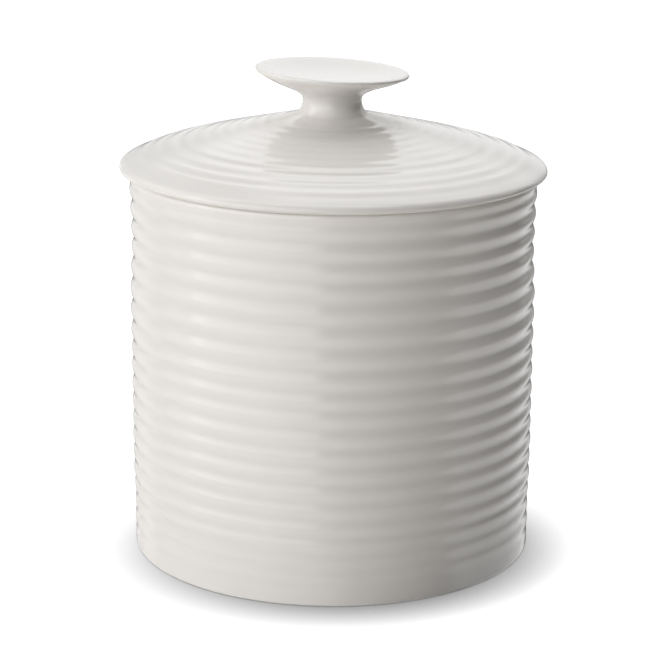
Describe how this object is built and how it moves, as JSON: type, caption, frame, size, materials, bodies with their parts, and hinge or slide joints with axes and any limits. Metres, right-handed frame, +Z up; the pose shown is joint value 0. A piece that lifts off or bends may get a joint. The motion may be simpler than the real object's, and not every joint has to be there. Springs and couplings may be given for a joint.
{
  "type": "storage jar",
  "caption": "Round porcelain storage jar with ribbed walls, a domed lift-off lid with a flared disc knob, and a silicone sealing ring on the lid's plug.",
  "frame": {"origin": "centre of the foot, on the surface that the jar stands on", "axes": "+Z up the jar's axis to the knob; the knob's edge is highest towards -X, and -Y faces the picture's camera"},
  "size_m": [0.1568, 0.1568, 0.181],
  "materials": {
    "body_porcelain": "white gloss glaze, bare clay on the foot",
    "lid_porcelain": "white gloss glaze, bare clay on the seat",
    "seal_silicone": "translucent white silicone, satin"
  },
  "bodies": {
    "jar": {"jar_body": "body_porcelain"},
    "lifted_lid": {"lid": "lid_porcelain", "seal_ring": "seal_silicone"}
  },
  "joints": [
    {"name": "lid_lift", "type": "slide", "parent": "jar", "child": "lifted_lid", "axis": [0, 0, 1], "range_m": [0, 0.1]}
  ]
}
